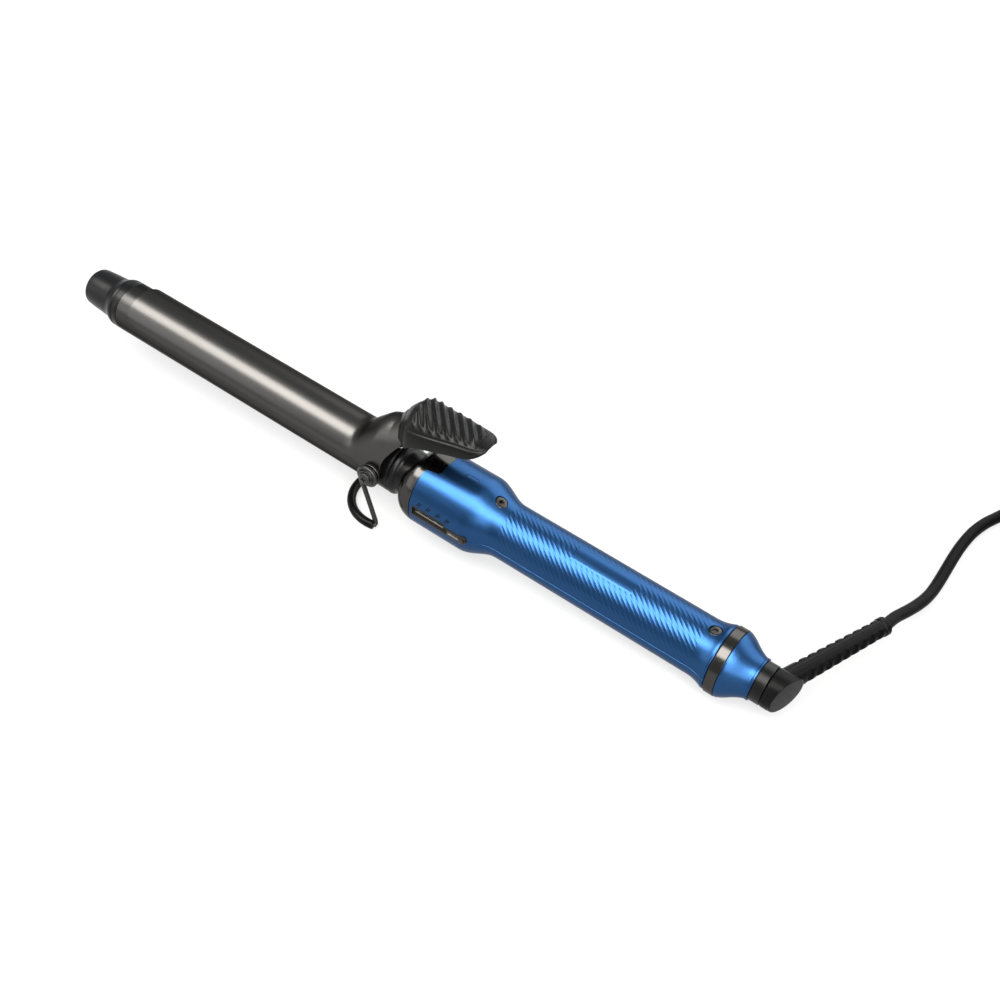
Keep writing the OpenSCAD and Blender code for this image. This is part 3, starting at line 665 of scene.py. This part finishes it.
def leg(side):
    pts = [
        (160.6, 17.2, 3.3), (160.75, 17.2, 2), (161.1, 17.2, 1.2), (163.2, 17.22, -4.2),
        (165.4, 17.25, -9.7), (167.5, 17.27, -15), (169.6, 17.3, -20.4), (170.4, 17.4, -22.4),
        (170.75, 17.7, -23.5), (170.7, 18.3, -23.9), (170.1, 18.8, -23.7),
    ]
    return [at(s, side * y, z) * 1000 for s, y, z in pts]


def eyelet(side, n=72, m=20):
    """The ring at the end of a leg, in world metres."""
    verts = []
    for a in (2 * math.pi * i / n for i in range(n)):
        for b in (2 * math.pi * j / m for j in range(m)):
            r, y = EYE_R + EYE_IN * math.cos(b), EYE_Y + EYE_OUT * math.sin(b)
            point = at(PIVOT[0] + r * math.cos(a), side * y, PIVOT[1] + r * math.sin(a))
            verts.append(tuple(point))
    faces = [(i * m + j, i * m + (j + 1) % m, (i + 1) % n * m + (j + 1) % m, (i + 1) % n * m + j)
             for i in range(n) for j in range(m)]
    return verts, faces


wire = leg(-1) + [bow(a) for a in range(278, 81, -4)] + leg(1)[::-1]
wire = [p / 1000 for p in smooth_path(wire, 0.8)]
tube = along_path(wire, WIRE_R / 1000, 20)
piece_world("stand_bar", *joined([tube, eyelet(-1), eyelet(1)]), "dark_steel", "stand",
            ("stand_wire",), 40)
foot = [p / 1000 for p in smooth_path([bow(a) for a in range(280, 79, -4)], 1)]
piece_world("stand_grip", *along_path(foot, SLEEVE_R / 1000, 32, 0.0004), "rubber_black", "stand",
            ("stand_sleeve",), 50)

# ---------- handle ----------
HEAD, GRIP, RING = 18.25, 13.1, 15.45  # radii
WALL = 2.2


def shell_radius(s):
    if s <= 215.5:
        return HEAD
    if s < 232:
        return HEAD + (GRIP - HEAD) * blend_in(215.5, 232, s)
    if s < 330:
        return GRIP
    return GRIP + (RING - 0.45 - GRIP) * min(1, ((s - 330) / 8)) ** 2


GROOVE = 2.77  # pitch of the scoops
TWIST = 1.35
SCOOP_DEPTH = 0.14
PRINT_S = (265, 295.5)  # the plain field on the grip


def scoop(s, phi):
    """Depth of the grip's helical scoops at an angle from the top towards the near side."""
    if s < 231 or s > 331.5 or phi > 80 or phi < -100:
        return 0.0
    v = s - TWIST * GRIP * math.radians(phi)
    near = blend_in(80, 74, phi)
    ends = blend_in(231.2, 233.2, s) * blend_in(331.2, 329.2, s)
    wave = 1 - abs(2 * ((v / GROOVE) % 1.0) - 1) ** 3.2
    return SCOOP_DEPTH * wave * near * ends * (1 - plain_field(s, phi))


def plain_field(s, phi):
    """1 inside the plain oblong field on the near side of the grip, 0 outside."""
    across = blend_in(-13, -10, phi) * blend_in(24, 21, phi)
    lo, hi = PRINT_S
    return across * blend_in(lo, lo + 1.2, s) * blend_in(hi + 1.2, hi, s)


def half_shell(name, upper, replaced):
    """One half of the handle's shell, with its scoops, as a closed solid."""
    stations = [189.4, 189.5, 189.7] + [190 + 1.5 * i for i in range(17)]
    stations += [215.5 + 0.75 * i for i in range(20)]
    if upper:
        s = 230.6
        while s < 331.8:
            stations.append(s)
            s += 0.31
        stations += [332.5, 333.5, 334.5, 335.5, 336.3, 337, 337.6, 338.1, 338.6]
    else:
        stations += [232 + 4 * i for i in range(25)] + [330 + 0.6 * i for i in range(15)]
    stations = sorted(set(stations + [338.9, 339.1, 339.3]))
    count = 150 if upper else 70
    edge = [0.0, 0.25, 0.6, 1.2]
    angles = edge + [2 + (176 * i / (count - 1)) for i in range(count)]
    angles += [180 - e for e in edge[::-1]]
    sections = []
    for s in stations:
        r0 = shell_radius(s)
        end = 0.25 * (1 - blend_in(189.4, 189.75, s)) + 0.45 * blend_in(338.7, 339.35, s)
        sec = []
        for a in angles:
            phi = 90 - a if upper else 90 + a
            lip = 0.22 * (1 - blend_in(0, 1.25, min(a, 180 - a))) ** 2
            r = r0 - end - lip - scoop(s, phi)
            t = math.radians(phi)
            gap = 0.05 * (1 - blend_in(0, 2.5, min(a, 180 - a))) * (1 if upper else -1)
            sec.append((s, -r * math.sin(t), r * math.cos(t) + gap))
        for a in (180, 120, 60, 0):
            t = math.radians(90 - a if upper else 90 + a)
            sec.append((s, -(r0 - WALL) * math.sin(t), (r0 - WALL) * math.cos(t)))
        sections.append(sec)
    return piece(name, *lofted(sections), "blue_shell", "iron", replaced)


def prism(outline, lo, hi, place):
    """A straight block with an outline, between two depths, as a cutter."""
    n = len(outline)
    verts = [place(p, d) for d in (lo, hi) for p in outline]
    faces = [tuple(range(n - 1, -1, -1)), tuple(range(n, 2 * n))]
    faces += [(k, (k + 1) % n, n + (k + 1) % n, n + k) for k in range(n)]
    return piece("cutter", verts, faces, "black_plastic", "iron")


def from_above(p, d):
    return (p[0], p[1], d)


def from_near(p, d):
    return (p[0], -d, p[1])


def corner(cx, cy, r, a0, a1, n=8):
    """Points of an arc from one angle to another."""
    angles = [math.radians(a0 + (a1 - a0) * k / n) for k in range(n + 1)]
    return [(cx + r * math.cos(a), cy + r * math.sin(a)) for a in angles]


def tab_outline(grow):
    """The trim's tab from above: flared where it meets the nose, with rounded rear corners."""
    h, back, r = 6.9 + grow, 196.9 + grow, 1.7 + grow
    side = [(186, 16)]
    side += [(189.4 + 1.9 * k / 8, h + 4.6 * (1 - k / 8) ** 2.4) for k in range(9)]
    near = [(x, -y) for x, y in side]
    near += corner(back - r, -h + r + 0.4, r, -80, 0)
    return near + corner(back - r, h - r - 0.4, r, 0, 80) + side[::-1]


def bay_outline(m, f=0.5):
    """The switch bay from the side, inset by m: a wide part and a narrower round-ended one."""
    lo, hi, step = -2.3 + m, 3.3 - m, 2.1 - m
    front, back = 191 + m + f, 209.4 - m
    r = (step - lo) / 2
    cx, cy = 221 - m - r, (step + lo) / 2
    out = corner(front, lo + f, f, 180, 270, 4) + corner(cx, cy, r, -90, 90, 14)
    out += [(back, step)] + corner(back - f, hi - f, f, 0, 90, 4)
    return out + corner(front, hi - f, f, 90, 180, 4)


def slot_outline(cx, half, r):
    return corner(cx + half, 0, r, -90, 90, 12) + corner(cx - half, 0, r, 90, 270, 12)


def circle_outline(cx, r, n=40):
    angles = [2 * math.pi * k / n for k in range(n)]
    return [(cx + r * math.cos(a), r * math.sin(a)) for a in angles]


PLUGS = (226, 333.4)  # stations of the screw plugs
WINDOW = (209.8, 2.2)  # station and half length of the straight part

upper = half_shell("handle_top_shell", True, ("handle_upper",))
lower = half_shell("handle_bottom_shell", False, ("handle_lower",))
for shell in (upper, lower):
    cut(shell, prism(bay_outline(-0.06), 10, 25, from_near))
cut(upper, prism(tab_outline(0.14), 10, 25, from_above))
cut(upper, prism(slot_outline(*WINDOW, 1.24), 10, 25, from_above))
for s in PLUGS:
    cut(upper, prism(circle_outline(s, 2.85), 4, 25, from_above))
dress(upper, "blue_shell", "iron", ("handle_upper",), 30)
dress(lower, "blue_shell", "iron", ("handle_lower",), 30)

# front trim: the rounded nose, and the tab let into the upper shell
nose = [(179.2, 10.95)]
for a in (math.radians(4 * k) for k in range(22)):
    nose.append((179.2 + 10 * (1 - math.cos(a)), 11 + 7.25 * math.sin(a)))
nose += [
    (189.05, 18.25), (189.2, 18.1), (189.2, 14.2), (184.5, 14.2), (183, 11.4), (183, 10.95),
]
trim = piece("trim_nose", *turned(nose, 200, True), "gunmetal", "iron", (), 34)
cut(trim, prism([(175, 2.74), (188.6, 20.28), (188.6, 30), (175, 30)], -30, 30, from_near))
dress(trim, "gunmetal", "iron", ("front_trim",), 34)

TAB_R = HEAD - 0.01
band = [(188.7, HEAD - 1.2)] + [(s, TAB_R) for s in (188.7, 189.9, 191.8, 193.7, 198)]
band = turned(band + [(198, HEAD - 1.2)], 360, True)
band = piece("trim_tab", *band, "gunmetal", "iron", (), 34)
cut(band, prism(tab_outline(0), 10, 25, from_above), "INTERSECT")
dress(band, "gunmetal", "iron", (), 34)

# screw plugs with a six-sided recess
for i, s in enumerate(PLUGS):
    top = shell_radius(s) - 0.35
    tilt = (shell_radius(s + 1) - shell_radius(s - 1)) / 2
    prof = rounded([(9, 0), (9, 2.68), (top, 2.68, 0.35), (top, 0)], 0.3)
    upright = lambda d, r, a, s=s: (s + r * math.cos(a), r * math.sin(a), d)
    verts, faces = turned(prof, 64, False, upright)
    verts = [(v[0], v[1], v[2] + (v[0] - s) * tilt if v[2] > 9.5 else v[2]) for v in verts]
    plug = piece("screw_cover_" + "ab"[i], verts, faces, "gunmetal", "iron", (), 34)
    cut(plug, prism(circle_outline(s, 1.35, 6), top - 0.7, top + 3, from_above))
    dress(plug, "gunmetal", "iron", ("screw_plugs",), 34)

# indicator window
LENS_R = HEAD - 0.1
lens = [(200, 15.2)] + [(s, LENS_R) for s in (200, 205, 217, 222)] + [(222, 15.2)]
lens = piece("window", *turned(lens, 360, True), "lens", "iron")
cut(lens, prism(slot_outline(*WINDOW, 1.06), 12, 25, from_above), "INTERSECT")
dress(lens, "lens", "iron", ("indicator_lens",), 34)

# switch bay
bezel = [(186, 15.6), (186, HEAD + 0.12), (225, HEAD + 0.12), (225, 15.6)]
bezel = piece("bay_frame", *turned(bezel, 360, True), "bronze_frame", "iron")
cut(bezel, prism(bay_outline(0), 12, 25, from_near), "INTERSECT")
cut(bezel, prism(bay_outline(0.5, 0.3), 16.9, 25, from_near))
slit = [(196, 0.75), (216.2, 0.75), (216.2, 1.85), (196, 1.85)]
cut(bezel, prism(slit, 12, 25, from_near))
dress(bezel, "bronze_frame", "iron", ("slider_bezel",), 34)
softened("slider_rail", "chrome_bar", 0.15)
softened("slider_knob", "bronze_frame", 0.22)
softened("slider_inlay", "chrome_bar", 0.12)

# four pairs of generic slanted dashes above the slot, each dash a small oval plate
MARK_ANGLE = math.radians(73)  # from the top towards the near side
marks = []
for s in (194.6, 199.5, 204.9, 210):
    for ds, long, wide in ((-0.45, 1.5, 0.36), (0.6, 1.15, 0.36)):
        pts = []
        for t in (2 * math.pi * k / 24 for k in range(24)):
            u, v = long * math.cos(t), wide * math.sin(t)
            pts.append((s + ds + 0.5 * u + 0.87 * v, MARK_ANGLE + (-0.87 * u + 0.5 * v) / HEAD))
        low, top = (
            [(x, -r * math.sin(f), r * math.cos(f)) for x, f in pts]
            for r in (HEAD - 0.1, HEAD + 0.035)
        )
        marks.append(lofted([low, top]))
piece("heat_marks", *joined(marks), "black_plastic", "iron", look="dark_mark")

# ---------- tail ----------
ring("tail_band", [
    (339.5, 11.3), (339.5, 15.3), (339.7, 15.45), (343.85, 15.45), (344, 15.3), (344, 11.3),
], "gunmetal", "iron", ("tail_ring",), 0.15, seg=200)
ring("tail_cap", [
    (336.6, 9.6), (336.6, 10.6), (339.3, 11.2), (344.05, 11.2), (344.05, 14.95),
    (344.3, 15.25, 0.2), (345.1, 15.12, 0.4), (347.3, 14.05, 2), (349, 12.95, 2),
    (350.5, 11.9, 2), (352.2, 10.9, 2), (353.8, 10.1, 2), (355.2, 9.62, 0.3), (355.5, 9.5, 0.1),
    (355.8, 9.72, 0.2), (356.65, 9.7, 0.2), (356.7, 8), (350.2, 8), (345.5, 9.6),
], "blue_shell", "iron", ("tail_cone",), 0.3, seg=200)
ring("swivel_collar", [
    (350.4, 4.56), (350.4, 7.9), (356.75, 7.95), (356.75, 9.05, 0.2), (361.3, 9.05, 0.4),
    (361.6, 8.8, 0.1), (361.6, 4.56),
], "black_plastic", "iron", ("swivel_bush",), 0.2)

# swivel knob: a drum whose end face is slanted towards the near side
drum = turned(rounded([(362, 0), (362, 9, 0.5), (377, 9), (377, 0)], 0.4), 160)
drum = piece("swivel_drum", *drum, "black_plastic", "swivel")
verts, faces = turned(rounded(
    [(-30, 0), (-30, 40), (-1.6, 40), (-1.6, 9.45), (-0.02, 9.3, 1.1), (0, 0)], 1.1, 8), 160)
c, s = math.cos(-SLANT), math.sin(-SLANT)
verts = [(369.4 + x * c - y * s, x * s + y * c, z) for x, y, z in verts]
cut(drum, piece("cutter", verts, faces, "black_plastic", "swivel"), "INTERSECT")
spindle = turned([(337.5, 2.4), (337.5, 4.5), (362.3, 4.5), (362.3, 2.4)], 64, True)
piece("swivel_spindle", *spindle, "black_plastic", "swivel", (), 34)
dress(drum, "black_plastic", "swivel", ("swivel_knob",), 34, "knob_plastic")

# slotted strain relief: teardrop pockets down both flanks, a fine line along the top and a
# plain collar. Distances along it are measured from the knob's axis.
RELIEF_T = 8.4  # where it leaves the knob
RELIEF_R, RELIEF_TIP_R, COLLAR_R = 5, 4.05, 4.25
RELIEF_END = RELIEF_T + 57
COLLAR_ROUND = 0.7
POCKETS, POCKET_PITCH, POCKET_DEPTH, POCKET_REACH = 9, 5.2, 2.3, 50
side_dir = Vector((relief_dir.y, -relief_dir.x, 0)).normalized()
top_dir = side_dir.cross(relief_dir)


def relief_radius(t, a):
    """Radius at a distance along the relief and an angle from its near flank to its top."""
    r = RELIEF_R + (RELIEF_TIP_R - RELIEF_R) * (t - 6) / (RELIEF_T + 48 - 6)
    if t > RELIEF_T + 53.6:
        r += (COLLAR_R - r) * blend_in(RELIEF_T + 53.6, RELIEF_T + 54.1, t)
    if t > RELIEF_T + 56.3:
        over = (t - RELIEF_T - 56.3) / COLLAR_ROUND
        r -= COLLAR_ROUND * (1 - math.sqrt(max(0, 1 - over ** 2)))
    flank = min(abs(a - 10), abs(a - 170), abs(a + 190))
    if flank < POCKET_REACH:
        v = (t - RELIEF_T - 8.1) / POCKET_PITCH + 0.5
        if 0 <= v < POCKETS:
            u = (v % 1.0 - 0.5) * POCKET_PITCH
            narrow = 1 - (flank / POCKET_REACH) ** 2
            half = 1.9 * narrow ** 0.35
            if half > 0.05 and abs(u) < half:
                r -= POCKET_DEPTH * (1 - (u / half) ** 2) ** 0.3 * narrow ** 0.25
    groove = math.exp(-((abs(a - 90) * math.pi / 180 * r) / 0.16) ** 2)
    groove = groove * blend_in(RELIEF_T + 1, RELIEF_T + 3, t)
    return r - 0.14 * groove * blend_in(RELIEF_T + 52.5, RELIEF_T + 50.5, t)


def relief_shape():
    rows = []
    t = 6.0
    while t < RELIEF_END:
        rows.append(t)
        t += 0.26 if t < RELIEF_T + 53 else 0.12
    n, sections = 144, []
    for t in rows + [RELIEF_END]:
        sec = []
        for a in (360 * k / n - 180 for k in range(n)):
            f = math.radians(a)
            d = side_dir * math.cos(f) + top_dir * math.sin(f)
            sec.append(tuple(relief_start + relief_dir * t + d * relief_radius(t, a)))
        sections.append(sec)
    return lofted(sections)


sleeve = piece("strain_relief_sleeve", *relief_shape(), "rubber_black", "swivel")
inner = turned([(350, 0), (350, 9.35), (361.9, 9.35), (361.9, 9.02), (385, 9.02), (385, 0)], 160)
cut(sleeve, piece("cutter", *inner, "rubber_black", "swivel"))
dress(sleeve, "rubber_black", "swivel", ("strain_relief",))
plug_parts = [
    softened("plug_body", "black_plastic", 1.2, angle=50),
    softened("plug_pins", "plug_brass", 0.4, angle=50),
    softened("plug_boot", "rubber_black", 0.4, angle=50),
]

# ---------- cord: its look and body, and the CAD cord nodes it replaces ---
curve.materials.append(M["cord_black"])
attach(cord, "swivel")
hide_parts("cord_lead", "cord_coil", "cord_tail")
tuple(route[0])

# ---------- carried-over CAD nodes ----------
SLOTS = {p["node"]: p["material_slot"] for p in frame["record"]["subparts"]}
for name, node in frame["nodes"].items():
    if not node.hide_render:
        node.data.materials.clear()
        node.data.materials.append(M[SLOTS[name]])
        node.data.shade_smooth()
        node.data.set_sharp_from_angle(angle=math.radians(30))

# ---------- floor and light ----------


def light(name, size, place, aim, radiance, color=(1, 1, 1)):
    """A rectangular lamp whose long side lies along the iron."""
    data = bpy.data.lights.new(name, "AREA")
    data.shape = "RECTANGLE"
    data.size, data.size_y = size
    data.energy = radiance * math.pi * size[0] * size[1]
    data.color = color
    obj = bpy.data.objects.new(name, data)
    obj.location = place
    z = (Vector(place) - Vector(aim)).normalized()
    x = (ALONG - z * ALONG.dot(z)).normalized()
    axes = Matrix((x, z.cross(x), z)).transposed().to_4x4()
    obj.matrix_world = Matrix.Translation(place) @ axes
    bpy.context.scene.collection.objects.link(obj)


# the floor glows a little, to give the photo's white ground
FLOOR = 6  # half its side, in metres
mesh = bpy.data.meshes.new("floor")
mesh.from_pydata([(-FLOOR, -FLOOR, 0), (FLOOR, -FLOOR, 0), (FLOOR, FLOOR, 0), (-FLOOR, FLOOR, 0)],
                 [], [(0, 1, 2, 3)])
mesh.materials.append(material("floor_sheet", (0.12, 0.12, 0.12), 0.85, vary=0.006, patch=3,
                               grain=900, bump=0.00002, specular=0.1, glow=0.66))
floor = bpy.data.objects.new("floor", mesh)
floor.location = (0, 0, -0.0002)
bpy.context.scene.collection.objects.link(floor)

world = bpy.data.worlds.new("studio")
bpy.context.scene.world = world
world.use_nodes = True
world.node_tree.nodes["Background"].inputs["Color"].default_value = (0.9, 0.95, 1.0, 1)
world.node_tree.nodes["Background"].inputs["Strength"].default_value = 0.5

KEY_TILT = math.radians(23)
key_dir = Vector((0, -math.sin(KEY_TILT), math.cos(KEY_TILT)))
light("key", (3.2, 0.85), tuple(key_dir * 1.5), (0, 0, 0), 14, (1.0, 0.985, 0.96))
light("far_card", (3.2, 1.5), (0.6, 1.6, 0.95), (0.3, 0, 0), 3.3)
light("near_card", (1.3, 1.2), (-1.75, -1.6, 0.8), (0, 0, 0), 2.2)
light("end_card", (1.3, 1.3), (1.44, -0.9, 0.86), (0.17, 0, 0), 6.5)

bpy.context.scene.view_settings.view_transform = "Standard"
bpy.context.scene.view_settings.exposure = 0.0
